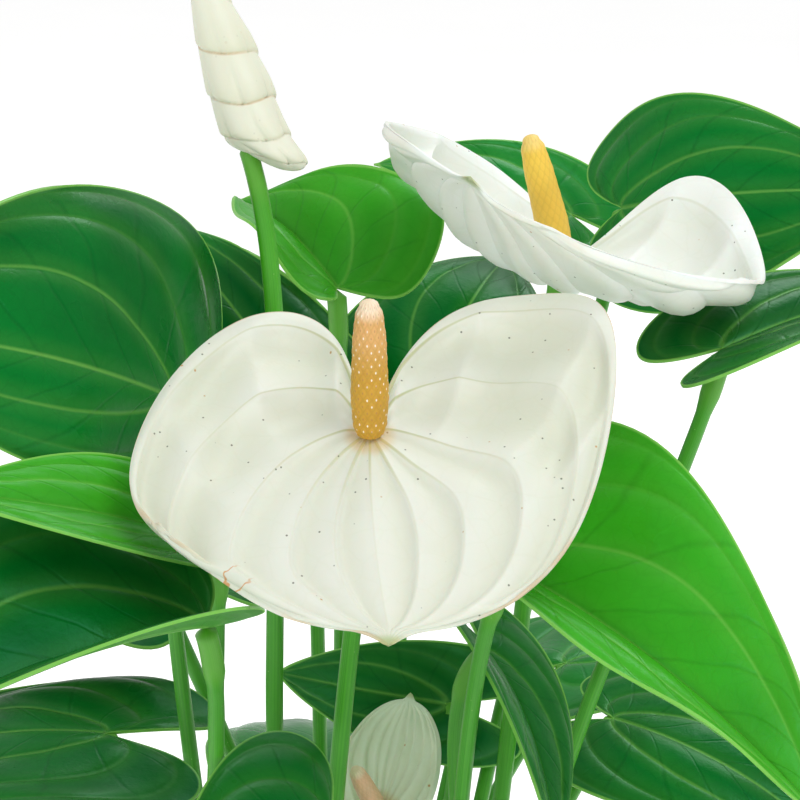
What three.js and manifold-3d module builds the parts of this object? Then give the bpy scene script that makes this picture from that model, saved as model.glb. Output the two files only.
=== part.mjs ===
// A white anthurium growing in a plain stoneware vase.
// Millimetres, +Z up. The origin is the centre of the vase's flat foot, and -Y is the front.

import * as THREE from "three";
import { mergeVertices } from "three/addons/utils/BufferGeometryUtils.js";
import Module from "manifold-3d";

const wasm = await Module();
wasm.setup();

// ---------------------------------------------------------------- driving dimensions

const GAP = 0.5; // clearance between pieces that touch
const SETBACK = 2.1; // a stalk's clearance from the underside of its blade, measured at its centre

const VASE = { height: 185, foot: 46, belly: 74, bellyAt: 78, neck: 55, lip: 60, wall: 5, floor: 7 };
const GRAVEL_TOP = 34;
const SOIL_TOP = 170;

const PETIOLE_RADIUS = 2.3;
const PEDUNCLE_RADIUS = 2.6;
const LEAF_THICKNESS = 1.0;
const SPATHE_THICKNESS = 1.1;

// Short thick shoots of the clump, and how far from a shoot's axis its stalks stand.
const SHOOTS = {
  left: { at: [-21, -4], radius: 7, height: 26 },
  right: { at: [20, -8], radius: 7.5, height: 30 },
  back: { at: [1, 23], radius: 6.5, height: 22 },
};
const STALK_RING = 10.8;
const SHOOT_DEPTH = 34;

const COLOURS = {
  vase: 0xd9d5cb,
  gravel: 0xa2694a,
  mix: 0x3a2a1e,
  shoot: 0x6d6a3a,
  dark: 0x0b5a2b,
  mid: 0x1f7a2e,
  bright: 0x3d9a1c,
  petiole: 0x4c9a24,
  peduncle: 0x58a81a,
  white: 0xf0f1e8,
  bud: 0xeeefd9,
  pale: 0xc4dcb8,
  ripe: 0xdca33c,
  yellow: 0xf0c640,
  pink: 0xe2b98c,
};

// Outline of a blade, as shares of its length from stalk to tip: how far the two lobes reach back, half the
// greatest width, how sharply it narrows to the tip, how closely the lobes stand together at the stalk, and how
// much smaller one half is than the other, how far one half is set forward of the other, and how far both ends
// swing to one side.
const LEAF_OUTLINE = { lobe: 0.95, half: 0.52, taper: 0.8, pinch: 0.6, uneven: 0, skew: 0, veer: 0 };
const SPATHE_OUTLINE = { lobe: 1.4, half: 1.3, taper: 0.3, pinch: 0.75, uneven: 0, skew: 0, veer: 0 };

// How a blade is bent, in millimetres unless noted: bow lifts the middle of the midrib, fold is the slope of the
// two halves, dish raises everything away from the stalk, cup and curl raise the sides and the margin, wave
// ruffles the margin, twist turns the tip, lift raises the lobes behind the stalk, heave raises one of them
// and lowers the other, and belly sinks the middle but not the margin.
const FLAT = {
  bow: 0, fold: 0, dish: 0, cup: 0, curl: 0, wave: 0, waves: 3, phase: 0, twist: 0, lift: 0, heave: 0, belly: 0,
};

// ---------------------------------------------------------------- leaves and flowers

// stalk: [shoot, turn in degrees round it]; rise and sweep are the shares of the stalk's span that its two ends
// keep straight, and lean tips its foot outwards. from is where the stalk meets the blade, tip is the blade's
// point, and face is where its upper side looks.
const LEAVES = {
  left_high: {
    green: "dark", stalk: ["left", 150], from: [-49, -2, 401], tip: [-127, -60, 433], face: [0.15, -0.85, 0.5],
    shape: { bow: 10, cup: -8, wave: 3 }, outline: { half: 0.8, lobe: 0.75, uneven: -0.45 },
  },
  centre_high: {
    green: "bright", stalk: ["back", 120], from: [-6, 76, 414], tip: [-36, 112, 433], face: [0.12, -0.3, 0.96],
    shape: { bow: 4, fold: 0.62, wave: 2 }, outline: { half: 1, lobe: 0.7, uneven: -0.3 },
  },
  left_far: {
    green: "dark", stalk: ["back", 150], from: [-18, 103, 374], tip: [-62, 140, 421], face: [0.1, -0.85, 0.5],
    shape: { bow: 6, cup: -6, wave: 2 },
  },
  right_far: {
    green: "dark", stalk: ["back", 60], from: [21, 118, 374], tip: [47, 174, 403], face: [0, -0.7, 0.7],
    shape: { bow: 8, cup: -6 }, outline: { half: 0.76, lobe: 0.8 },
  },
  right_high: {
    green: "dark", stalk: ["right", 105], from: [80, 118, 430], tip: [154, 86, 441], face: [-0.1, -0.9, 0.4],
    shape: { bow: 8, cup: -8, wave: 2 }, outline: { half: 0.6, lobe: 0.5 },
  },
  back_high: {
    green: "mid", stalk: ["back", 0], from: [66, 154, 422], tip: [6, 164, 436], face: [0, -0.5, 0.87],
    shape: { bow: 6, cup: 6 },
  },
  right_side: {
    green: "dark", stalk: ["right", 15], from: [101, 24, 408], tip: [165, 58, 416], face: [0, -0.2, 0.98],
    shape: { bow: 4, fold: 0.3 }, outline: { lobe: 0.7, half: 0.44 },
  },
  right_front: {
    green: "bright", stalk: ["right", 270], from: [40, -40, 365], tip: [112, -98, 322], face: [0.1, -0.35, 0.93],
    shape: { bow: 6, fold: 0.5, wave: 2 }, outline: { lobe: 0.8, half: 0.58, pinch: 0.3, uneven: 0.6 },
  },
  left_front: {
    green: "dark", stalk: ["left", 240], from: [-37, -50, 353], tip: [-115, -98, 338], face: [-0.05, -0.25, 0.97],
    shape: { bow: 5, fold: 0.7 }, outline: { lobe: 0.35, half: 0.6 }, lean: 0.3,
  },
  left_side: {
    green: "bright", stalk: ["left", 215], from: [-34, -36, 370], tip: [-100, -72, 394], face: [-0.1, -0.5, 0.85],
    shape: { bow: 3, fold: 0.3 }, outline: { lobe: 0.3, half: 0.34 },
  },
  front_low: {
    green: "dark", stalk: ["left", 325], from: [-6, -50, 297], tip: [-48, -95, 272], face: [-0.1, -0.9, 0.4],
    shape: { bow: 6, cup: -5 }, outline: { lobe: 0.8, half: 0.68, pinch: 0.4 },
  },
  centre_low: {
    green: "dark", stalk: ["back", 330], from: [25, 30, 303], tip: [-22, 44, 307], face: [0, -0.95, 0.3],
    shape: { bow: 6, cup: -5 },
  },
  right_mid: {
    green: "mid", stalk: ["right", 350], from: [36, -4, 330], tip: [53, -38, 288], face: [0.8, -0.3, 0.6],
    shape: { bow: 4, fold: 0.3 },
  },
  right_low: {
    green: "dark", stalk: ["right", 75], from: [74, 36, 296], tip: [136, 2, 268], face: [0.2, -0.6, 0.8],
    shape: { bow: 8, cup: -6 }, outline: { lobe: 0.6 },
  },
  left_low: {
    green: "mid", stalk: ["left", 185], from: [-53, -13, 268], tip: [-76, 9, 294], face: [-0.3, -0.6, 0.7],
    shape: { bow: 4, cup: -4 },
  },
  back_low: {
    green: "mid", stalk: ["back", 90], from: [-12, 80, 260], tip: [-18, 176, 238], face: [0, 0.3, 0.95],
    shape: { bow: 10, cup: -4, wave: 2 }, outline: { lobe: 0.5 },
  },
  back_left: {
    green: "dark", stalk: ["back", 185], from: [-60, 66, 332], tip: [-126, 134, 314], face: [-0.2, 0.1, 0.97],
    shape: { bow: 10, cup: -5, wave: 2 }, outline: { half: 0.58, lobe: 0.7 },
  },
  back_right: {
    green: "mid", stalk: ["back", 30], from: [64, 96, 292], tip: [140, 142, 270], face: [0.2, 0.1, 0.97],
    shape: { bow: 10, cup: -5, wave: 2 }, outline: { half: 0.58, lobe: 0.7 },
  },
  left_mid: {
    green: "dark", stalk: ["left", 120], from: [-70, 14, 300], tip: [-160, 26, 272], face: [-0.2, -0.15, 0.96],
    shape: { bow: 9, cup: -6, wave: 2 }, outline: { half: 0.56, lobe: 0.7 },
  },
  right_front_low: {
    green: "dark", stalk: ["right", 305], from: [62, -52, 258], tip: [130, -106, 232], face: [0.2, -0.3, 0.93],
    shape: { bow: 9, cup: -5, wave: 2 }, outline: { half: 0.56, lobe: 0.6 },
  },
  front_lowest: {
    green: "mid", stalk: ["left", 290], from: [-22, -60, 236], tip: [-44, -134, 208], face: [-0.1, -0.4, 0.9],
    shape: { bow: 8, cup: -4 }, outline: { half: 0.56, lobe: 0.7 },
  },
};

const BLOOMS = {
  open: {
    stalk: ["left", 357], lean: 0, from: [5, -45, 401], tip: [4.5, -88, 361], face: [0, -0.68, 0.73],
    shape: { bow: 2, dish: 7, curl: -3, wave: 1 }, colour: "white",
    outline: { lobe: 1.57, half: 1.36, skew: 0.28, veer: -0.09, uneven: 0.04 },
    spadix: { colour: "ripe", length: 39, radius: 4.7, towards: [0, -0.3, 0.95] },
  },
  side: {
    stalk: ["right", 45], from: [57, 42, 429], tip: [35, -6, 436.5], face: [0.33, -0.04, 0.94],
    shape: { dish: 17, lift: 30, heave: 36, belly: 7 }, colour: "white",
    outline: { lobe: 1.25, half: 1.35, pinch: 0.78, veer: 0.22 },
    spadix: { colour: "yellow", length: 37, radius: 4.6, towards: [-0.25, -0.15, 0.95] },
  },
  small: {
    stalk: ["back", 270], from: [7, 4, 280], tip: [15, 18, 308], face: [-0.4, -0.8, 0.4],
    shape: { cup: 4 }, outline: { lobe: 0.6, half: 0.6 }, colour: "pale",
    spadix: { colour: "pink", length: 22, radius: 3, towards: [-0.3, -0.5, 0.8] },
  },
};

const BUD = { stalk: ["left", 60], low: [-22, 13, 457], high: [-43, 27, 517], radius: 9, joint: 0.14 };

// ---------------------------------------------------------------- making solids

const vec = (p) => new THREE.Vector3(...p);

// Keeps positions only, merges shared corners, and drops the faces that a pole has collapsed.
function closed(geometry) {
  const bare = new THREE.BufferGeometry().setAttribute("position", geometry.getAttribute("position"));
  if (geometry.index) bare.setIndex(geometry.index);
  const merged = mergeVertices(bare, 1e-3);
  const kept = [];
  const { array } = merged.index;
  for (let i = 0; i < array.length; i += 3) {
    const [a, b, c] = [array[i], array[i + 1], array[i + 2]];
    if (a !== b && b !== c && a !== c) kept.push(a, b, c);
  }
  merged.setIndex(kept);
  return merged;
}

const solidOf = (geometry) => {
  const { index, attributes } = closed(geometry);
  return new wasm.Manifold(
    new wasm.Mesh({ numProp: 3, vertProperties: attributes.position.array, triVerts: new Uint32Array(index.array) }),
  );
};

function geometryOf(solid) {
  const { numProp, vertProperties, triVerts } = solid.getMesh();
  const corners = new Float32Array((vertProperties.length / numProp) * 3);
  for (let i = 0; i < corners.length / 3; i++) {
    corners.set(vertProperties.subarray(i * numProp, i * numProp + 3), i * 3);
  }
  return new THREE.BufferGeometry()
    .setAttribute("position", new THREE.BufferAttribute(corners, 3))
    .setIndex(new THREE.BufferAttribute(triVerts, 1));
}

const plant = new THREE.Group();

function piece(name, geometry, colour, roughness = 0.5) {
  const material = new THREE.MeshStandardMaterial({ color: COLOURS[colour], roughness, metalness: 0 });
  const mesh = new THREE.Mesh(geometry, material);
  mesh.name = name;
  plant.add(mesh);
  return mesh;
}

// A profile of [radius, height] points turned about Z. It starts and ends on the axis, from the bottom up.
function turned(profile, segments) {
  const points = profile.map(([r, z]) => new THREE.Vector2(r, z));
  return closed(new THREE.LatheGeometry(points, segments).rotateX(Math.PI / 2));
}

// ---------------------------------------------------------------- blades

// The blade's own axes: along its midrib, across it, and out of its upper side.
function bladeAxes({ from, tip, face }) {
  const along = vec(tip).sub(vec(from));
  const length = along.length();
  along.normalize();
  const out = vec(face).addScaledVector(along, -vec(face).dot(along)).normalize();
  return { along, out, across: along.clone().cross(out), length };
}

// v runs from one margin (-1) over the midrib (0) to the other (1). w runs from the stalk (0) to the tip (1).
// Lines of constant v are the paths of the main veins.
function bladePoint(leaf, axes, outline, v, w, offset) {
  const shape = { ...FLAT, ...leaf.shape };
  const turn = Math.PI * w;
  const [s, c] = [Math.sin(turn), Math.cos(turn)];
  const share = (1 - c) / 2;
  const scale = v * outline.uneven > 0 ? 1 - Math.abs(outline.uneven) : 1;
  const taper = (1 - outline.taper * share ** 2) * (1 - outline.pinch * (1 - share) ** 2);
  const width = scale * v * outline.half * s * taper;
  const back = (scale * Math.abs(v) * outline.lobe * s * (1 + c)) / 2;
  const reach = share - back + outline.skew * width * s ** 6;
  const side = width + outline.veer * reach ** 2;
  const rise =
    shape.bow * 4 * reach * (1 - reach) +
    shape.fold * Math.abs(side) * axes.length +
    shape.dish * (reach ** 2 + side ** 2) +
    shape.cup * (side / outline.half) ** 2 +
    shape.curl * s * v ** 4 +
    shape.wave * v ** 2 * s * Math.sin(2 * shape.waves * turn + shape.phase + v) +
    shape.twist * reach * side -
    shape.belly * s ** 4 * (1 - v ** 2) +
    (shape.lift - shape.heave * Math.sign(v)) * Math.min(0, reach) ** 2;
  return vec(leaf.from)
    .addScaledVector(axes.along, reach * axes.length)
    .addScaledVector(axes.across, side * axes.length)
    .addScaledVector(axes.out, rise + offset);
}

function blade(name, leaf, outline, thickness, colour, [across, along]) {
  const axes = bladeAxes(leaf);
  const grid = new THREE.BoxGeometry(2, 1, 1, across, along, 1);
  const { position } = grid.attributes;
  for (let i = 0; i < position.count; i++) {
    const w = position.getY(i) + 0.5;
    const p = bladePoint(leaf, axes, outline, position.getX(i), w, position.getZ(i) * thickness);
    position.setXYZ(i, p.x, p.y, p.z);
  }
  piece(name, closed(grid), colour, 0.35);
  return axes;
}

// ---------------------------------------------------------------- stalks

function rootOf([shoot, turn]) {
  const angle = THREE.MathUtils.degToRad(turn);
  const [x, y] = SHOOTS[shoot].at;
  return new THREE.Vector3(x + STALK_RING * Math.cos(angle), y + STALK_RING * Math.sin(angle), SOIL_TOP + 2 * GAP);
}

function stalk(name, { stalk: at, rise = 0.5, sweep = 0.2, lean = 0.12 }, end, arrival, radius, colour) {
  const root = rootOf(at);
  const span = root.distanceTo(end);
  const outward = new THREE.Vector3(root.x, root.y, 0).normalize();
  const rising = new THREE.Vector3(0, 0, 1).addScaledVector(outward, lean).normalize();
  const path = new THREE.CubicBezierCurve3(
    root,
    root.clone().addScaledVector(rising, rise * span),
    end.clone().addScaledVector(arrival, -sweep * span),
    end,
  );
  const section = new THREE.Shape().absarc(0, 0, radius, 0, 2 * Math.PI);
  piece(name, closed(new THREE.ExtrudeGeometry(section, { steps: 9, curveSegments: 3, extrudePath: path })), colour);
}

const UP = new THREE.Vector3(0, 0, 1);

// A stalk comes up from below and behind its blade, leaning the way the blade points.
const arrivalAt = ({ out, along }) => out.clone().addScaledVector(UP, 0.8).addScaledVector(along, 0.5).normalize();

function leaf(name, data) {
  const outline = { ...LEAF_OUTLINE, ...data.outline };
  const axes = blade(`blade_${name}`, data, outline, LEAF_THICKNESS, data.green, [6, 10]);
  const arrival = arrivalAt(axes);
  const end = vec(data.from).addScaledVector(axes.out, -LEAF_THICKNESS / 2 - SETBACK);
  stalk(`petiole_${name}`, data, end, arrival, PETIOLE_RADIUS, "petiole");
}

// ---------------------------------------------------------------- flowers

function spadix(name, { length, radius, towards, colour }, foot) {
  const profile = [
    [0, 0], [radius * 0.5, 0.4], [radius * 0.93, length * 0.1], [radius, length * 0.3],
    [radius * 0.86, length * 0.7], [radius * 0.68, length * 0.92], [radius * 0.4, length * 0.985], [0, length],
  ];
  const mesh = piece(name, turned(profile, 10), colour, 0.6);
  mesh.position.copy(foot);
  mesh.quaternion.setFromUnitVectors(UP, vec(towards).normalize());
}

function bloom(name, data) {
  const outline = { ...SPATHE_OUTLINE, ...data.outline };
  const axes = blade(`spathe_${name}`, data, outline, SPATHE_THICKNESS, data.colour, [8, 12]);
  spadix(`spadix_${name}`, data.spadix, vec(data.from).addScaledVector(axes.out, SPATHE_THICKNESS / 2 + 3 * GAP));
  const arrival = arrivalAt(axes);
  const end = vec(data.from).addScaledVector(axes.out, -SPATHE_THICKNESS / 2 - SETBACK);
  stalk(`peduncle_${name}`, data, end, arrival, PEDUNCLE_RADIUS, "peduncle");
}

// The furled spathe: a drooping lobe end below, swelling above it and drawn out to a point.
function bud(data) {
  const [low, high] = [vec(data.low), vec(data.high)];
  const axis = high.clone().sub(low);
  const length = axis.length();
  const swell = [
    [0, 0], [0.35, 0.02], [0.72, 0.12], [0.94, 0.24], [1, 0.38], [0.84, 0.58], [0.55, 0.78], [0.24, 0.93], [0, 1],
  ];
  const mesh = piece("spathe_bud", turned(swell.map(([r, z]) => [r * data.radius, z * length]), 12), "bud");
  mesh.position.copy(low);
  mesh.quaternion.setFromUnitVectors(UP, axis.clone().normalize());
  return { joint: low.clone().addScaledVector(axis, data.joint), axis: axis.normalize() };
}

// ---------------------------------------------------------------- vase, filling and shoots

// The wall's outside from foot to lip: a belly that narrows to a neck and opens again to the lip.
function vaseProfile(inset) {
  const { height, foot, belly, bellyAt, neck, lip } = VASE;
  const curve = new THREE.SplineCurve(
    [[foot, 0], [belly * 0.9, bellyAt * 0.45], [belly, bellyAt], [neck * 1.08, height * 0.8], [lip, height]].map(
      ([r, z]) => new THREE.Vector2(r - inset, z),
    ),
  );
  return curve.getPoints(14);
}

const radiusAt = (profile, z) => {
  const above = profile.findIndex((p) => p.y >= z);
  const [a, b] = [profile[Math.max(0, above - 1)], profile[above]];
  return above ? a.x + ((b.x - a.x) * (z - a.y)) / (b.y - a.y) : b.x;
};

// A solid of revolution that fills the vase's hollow between two heights.
function filling(bottom, top, crown) {
  const wall = vaseProfile(VASE.wall + GAP);
  const between = wall.filter((p) => p.y > bottom && p.y < top).map((p) => [p.x, p.y]);
  const ends = [[radiusAt(wall, bottom), bottom], ...between, [radiusAt(wall, top), top]];
  return turned([[0, bottom], ...ends, [0, top + crown]], 28);
}

function vase() {
  const outside = vaseProfile(0).map((p) => [p.x, p.y]);
  const wall = vaseProfile(VASE.wall);
  const inside = wall.filter((p) => p.y > VASE.floor).map((p) => [p.x, p.y]);
  inside.unshift([radiusAt(wall, VASE.floor), VASE.floor]);
  piece("vase", turned([[0, 0], ...outside, ...inside.reverse(), [0, VASE.floor]], 28), "vase", 0.4);
}

const shootProfile = ({ radius, height }, inset) => [
  [0, -SHOOT_DEPTH], [radius * 0.5 - inset, -SHOOT_DEPTH * 0.8], [radius - inset, -SHOOT_DEPTH * 0.4],
  [radius - inset, 0], [radius * 0.92 - inset, height * 0.6], [radius * 0.5 - inset, height * 0.92], [0, height],
];

function shoots() {
  for (const [name, shoot] of Object.entries(SHOOTS)) {
    piece(`shoot_${name}`, turned(shootProfile(shoot, 0), 10), "shoot", 0.8).position.set(...shoot.at, SOIL_TOP);
  }
}

function pottingMix() {
  let mix = solidOf(filling(GRAVEL_TOP + GAP, SOIL_TOP, 0));
  for (const shoot of Object.values(SHOOTS)) {
    const hole = turned(shootProfile(shoot, -GAP), 10).translate(...shoot.at, SOIL_TOP);
    mix = mix.subtract(solidOf(hole));
  }
  piece("potting_mix", geometryOf(mix), "mix", 1);
}

// ---------------------------------------------------------------- assembly

vase();
piece("drainage_pebbles", filling(VASE.floor + GAP, GRAVEL_TOP, 0), "gravel", 1);
pottingMix();
shoots();

for (const [name, data] of Object.entries(LEAVES)) leaf(name, data);
for (const [name, data] of Object.entries(BLOOMS)) bloom(name, data);

const { joint, axis } = bud(BUD);
const budEnd = joint.clone().add(new THREE.Vector3(-BUD.radius * 0.55, 0, -BUD.radius * 1.1));
stalk("peduncle_bud", BUD, budEnd, axis, PEDUNCLE_RADIUS, "peduncle");

export default plant;
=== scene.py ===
"""A white anthurium growing in a plain stoneware vase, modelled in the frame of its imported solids.

Metres, +Z up. The origin is the centre of the vase's flat foot, and -Y is the front. The sizes of the
plant below are in millimetres, and become metres as each piece is made.
"""

import math
import random

import bmesh
import bpy
from bpy.props import FloatProperty, FloatVectorProperty, IntProperty, PointerProperty
from mathutils import Color, Matrix, Vector, noise


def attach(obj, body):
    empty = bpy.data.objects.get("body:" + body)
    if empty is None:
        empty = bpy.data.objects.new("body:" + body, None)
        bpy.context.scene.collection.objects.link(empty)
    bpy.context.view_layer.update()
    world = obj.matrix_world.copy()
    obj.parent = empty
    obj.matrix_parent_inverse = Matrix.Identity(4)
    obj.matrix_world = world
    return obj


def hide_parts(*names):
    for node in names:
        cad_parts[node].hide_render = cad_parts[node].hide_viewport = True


bl_info = {
    "name": "Anthurium in a vase",
    "version": (1, 0, 0),
    "blender": (4, 5, 0),
    "location": "3D View > Sidebar > Anthurium",
    "description": "Models a white anthurium growing in a plain stoneware vase",
    "category": "Add Mesh",
}

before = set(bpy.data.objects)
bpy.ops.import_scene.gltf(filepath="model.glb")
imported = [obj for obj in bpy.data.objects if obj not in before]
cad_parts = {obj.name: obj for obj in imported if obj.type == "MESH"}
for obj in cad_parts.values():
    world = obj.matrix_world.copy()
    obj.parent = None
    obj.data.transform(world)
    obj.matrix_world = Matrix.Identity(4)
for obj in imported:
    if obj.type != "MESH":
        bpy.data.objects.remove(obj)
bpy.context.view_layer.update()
MM = 0.001
UP = Vector((0, 0, 1))
MERGE = 1e-6  # points closer than this are one point

# ---------------------------------------------------------------- the plant's layout, in millimetres

VASE = dict(height=185, foot=46, belly=74, belly_at=78, neck=55, lip=60, floor=7)
PEBBLE_TOP, MIX_TOP = 34, 170
STALK_RING = 10.8  # from a shoot's axis to the stalks that stand round it
SHOOTS = {
    "left": dict(at=(-21, -4), radius=7, height=26),
    "right": dict(at=(20, -8), radius=7.5, height=30),
    "back": dict(at=(1, 23), radius=6.5, height=22),
}

# A blade's outline, as shares of its length from stalk to tip: how far the lobes reach back, half its
# width, how it narrows to the tip and closes at the stalk, how much smaller one half is, how far its
# widest part is set forward, how far both ends swing to one side, how late its veins sweep back, and how
# long its tip is.
LEAF_OUTLINE = dict(lobe=0.95, half=0.52, taper=0.8, pinch=0.6, uneven=0, skew=0, veer=0, fan=2.6,
                    tail=0.03)
SPATHE_OUTLINE = dict(lobe=1.4, half=1.3, taper=0.3, pinch=0.75, uneven=0, skew=0, veer=0, fan=4,
                      tail=0.07)
# A flat blade's shape. Each value bends the blade in its own way, which Blade.point spells out.
FLAT = dict(bow=0, fold=0, dish=0, cup=0, curl=0, wave=0, waves=3, lift=0, heave=0, belly=0)

LEAVES = {
    "left_high": dict(
        green="dark", stalk=("left", 150), start=(-49, -2, 401), tip=(-127, -60, 433),
        face=(0.15, -0.85, 0.5), shape=dict(bow=10, cup=-8, wave=3),
        outline=dict(half=0.8, lobe=0.75, uneven=-0.45)),
    "centre_high": dict(
        green="bright", stalk=("back", 120), start=(-6, 76, 414), tip=(-36, 112, 433),
        face=(0.12, -0.3, 0.96), shape=dict(bow=4, fold=0.62, wave=2),
        outline=dict(half=1, lobe=0.7, uneven=-0.3)),
    "left_far": dict(
        green="dark", stalk=("back", 150), start=(-18, 103, 374), tip=(-62, 140, 421),
        face=(0.1, -0.85, 0.5), shape=dict(bow=6, cup=-6, wave=2), outline={}),
    "right_far": dict(
        green="dark", stalk=("back", 60), start=(21, 118, 374), tip=(47, 174, 403), face=(0, -0.7, 0.7),
        shape=dict(bow=8, cup=-6), outline=dict(half=0.76, lobe=0.8)),
    "right_high": dict(
        green="dark", stalk=("right", 105), start=(80, 118, 430), tip=(154, 86, 441),
        face=(-0.1, -0.9, 0.4), shape=dict(bow=8, cup=-8, wave=2), outline=dict(half=0.6, lobe=0.5)),
    "back_high": dict(
        green="mid", stalk=("back", 0), start=(66, 154, 422), tip=(6, 164, 436), face=(0, -0.5, 0.87),
        shape=dict(bow=6, cup=6), outline={}),
    "right_side": dict(
        green="dark", stalk=("right", 15), start=(101, 24, 408), tip=(165, 58, 416),
        face=(0, -0.2, 0.98), shape=dict(bow=4, fold=0.3), outline=dict(lobe=0.7, half=0.44)),
    "right_front": dict(
        green="bright", stalk=("right", 270), start=(40, -40, 365), tip=(112, -98, 322),
        face=(0.1, -0.35, 0.93), shape=dict(bow=6, fold=0.5, wave=2),
        outline=dict(lobe=0.8, half=0.58, pinch=0.3, uneven=0.6)),
    "left_front": dict(
        green="dark", stalk=("left", 240), start=(-37, -50, 353), tip=(-115, -98, 338),
        face=(-0.05, -0.25, 0.97), shape=dict(bow=5, fold=0.7), outline=dict(lobe=0.35, half=0.6),
        lean=0.3),
    "left_side": dict(
        green="bright", stalk=("left", 215), start=(-34, -36, 370), tip=(-100, -72, 394),
        face=(-0.1, -0.5, 0.85), shape=dict(bow=3, fold=0.3), outline=dict(lobe=0.3, half=0.34)),
    "front_low": dict(
        green="dark", stalk=("left", 325), start=(-6, -50, 297), tip=(-48, -95, 272),
        face=(-0.1, -0.9, 0.4), shape=dict(bow=6, cup=-5),
        outline=dict(lobe=0.8, half=0.68, pinch=0.4)),
    "centre_low": dict(
        green="dark", stalk=("back", 330), start=(25, 30, 303), tip=(-22, 44, 307),
        face=(0, -0.95, 0.3), shape=dict(bow=6, cup=-5), outline={}),
    "right_mid": dict(
        green="mid", stalk=("right", 350), start=(36, -4, 330), tip=(53, -38, 288),
        face=(0.8, -0.3, 0.6), shape=dict(bow=4, fold=0.3), outline={}),
    "right_low": dict(
        green="dark", stalk=("right", 75), start=(74, 36, 296), tip=(136, 2, 268),
        face=(0.2, -0.6, 0.8), shape=dict(bow=8, cup=-6), outline=dict(lobe=0.6)),
    "left_low": dict(
        green="mid", stalk=("left", 185), start=(-53, -13, 268), tip=(-76, 9, 294),
        face=(-0.3, -0.6, 0.7), shape=dict(bow=4, cup=-4), outline={}),
    "back_low": dict(
        green="mid", stalk=("back", 90), start=(-12, 80, 260), tip=(-18, 176, 238), face=(0, 0.3, 0.95),
        shape=dict(bow=10, cup=-4, wave=2), outline=dict(lobe=0.5)),
    "back_left": dict(
        green="dark", stalk=("back", 185), start=(-60, 66, 332), tip=(-126, 134, 314),
        face=(-0.2, 0.1, 0.97), shape=dict(bow=10, cup=-5, wave=2), outline=dict(half=0.58, lobe=0.7)),
    "back_right": dict(
        green="mid", stalk=("back", 30), start=(64, 96, 292), tip=(140, 142, 270),
        face=(0.2, 0.1, 0.97), shape=dict(bow=10, cup=-5, wave=2), outline=dict(half=0.58, lobe=0.7)),
    "left_mid": dict(
        green="dark", stalk=("left", 120), start=(-70, 14, 300), tip=(-160, 26, 272),
        face=(-0.2, -0.15, 0.96), shape=dict(bow=9, cup=-6, wave=2), outline=dict(half=0.56, lobe=0.7)),
    "right_front_low": dict(
        green="dark", stalk=("right", 305), start=(62, -52, 258), tip=(130, -106, 232),
        face=(0.2, -0.3, 0.93), shape=dict(bow=9, cup=-5, wave=2), outline=dict(half=0.56, lobe=0.6)),
    "front_lowest": dict(
        green="mid", stalk=("left", 290), start=(-22, -60, 236), tip=(-44, -134, 208),
        face=(-0.1, -0.4, 0.9), shape=dict(bow=8, cup=-4), outline=dict(half=0.56, lobe=0.7)),
}

BLOOMS = {
    "open": dict(
        slot="spathe_white", stalk=("left", 357), lean=0, start=(5, -45, 401), tip=(4.5, -88, 361),
        face=(0, -0.68, 0.73), shape=dict(bow=2, dish=7, curl=-3, wave=1), quilting=2.4, ribs=6.5,
        crease=1.15, white="white", tan=0.5, veined=1.0, scar=(0.78, 0.72),
        outline=dict(lobe=1.57, half=1.36, skew=0.28, veer=-0.09, uneven=0.04),
        spadix=dict(slot="spadix_ripe", length=39, radius=4.7, floret=0.24, towards=(0, -0.3, 0.95))),
    # The side spathe takes the lighter white, which is partly painted light.
    "side": dict(
        slot="spathe_white", stalk=("right", 45), start=(57, 42, 429), tip=(35, -6, 436.5),
        face=(0.33, -0.04, 0.94), shape=dict(dish=17, lift=30, heave=36, belly=7), quilting=3.8, ribs=5,
        crease=0.75, white="bright", tan=0.12, veined=0.45,
        outline=dict(lobe=1.25, half=1.35, pinch=0.78, veer=0.22),
        spadix=dict(slot="spadix_yellow", length=37, radius=4.6, floret=0.1, towards=(-0.25, -0.15, 0.95))),
    "small": dict(
        slot="spathe_pale", stalk=("back", 270), start=(7, 4, 280), tip=(15, 18, 308),
        face=(-0.4, -0.8, 0.4), shape=dict(cup=4), quilting=0.3, ribs=5,
        crease=1, white="pale", tan=0.12, veined=0.45,
        outline=dict(lobe=0.6, half=0.6),
        spadix=dict(slot="spadix_pink", length=22, radius=3, floret=0.1, towards=(-0.3, -0.5, 0.8))),
}

BUD = dict(stalk=("left", 60), low=(-22, 13, 457), high=(-43, 27, 517), radius=9, joint=0.14)

# Where the main veins run between the midrib (0) and the margin (1).
SPATHE_VEINS = (0, 0.17, 0.36, 0.6, 0.84, 0.975, 1)
LEAF_VEINS = (0, 0.42, 0.74, 0.93, 1)
SIDE_VEINS = 8.0  # side veins from stalk to tip
SIDE_SLANT = 3.2  # side veins met between the midrib and the margin
# What a blade's finish reads at each corner: millimetres to a vein, millimetres to the margin, and how
# hollow it lies, which the spathes' finishes turn into painted shade in their hollows and creases.
BLADE_MEASURES = ("vein", "edge", "hollow")

# ---------------------------------------------------------------- the stage, in metres

CAMERA = dict(place=(0.0125, -0.7218, 0.5793), dip=14, sensor=36)  # dip in degrees, sensor in millimetres
LIGHTS = {
    "key": dict(place=(0.9, -1.3, 2.0), size=1.5),
    "fill": dict(place=(-1.6, -1.3, 0.9), size=1.6),
    "back": dict(place=(0.6, 1.2, 2.1), size=1.2),
}
PLANT_MIDDLE = Vector((0, 0, 0.36))


def colour(code):
    """A colour from its six-digit code, as Blender's linear red, green and blue."""
    parts = [int(code[i:i + 2], 16) / 255 for i in (0, 2, 4)]
    return tuple(Color(parts).from_srgb_to_scene_linear())


# ---------------------------------------------------------------- sizes and colours to change


def length_field(name, description, default):
    return FloatProperty(name=name, description=description, default=default, unit="LENGTH", precision=4)


def power_field(name, description, default):
    return FloatProperty(name=name, description=description, default=default, unit="POWER")


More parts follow.
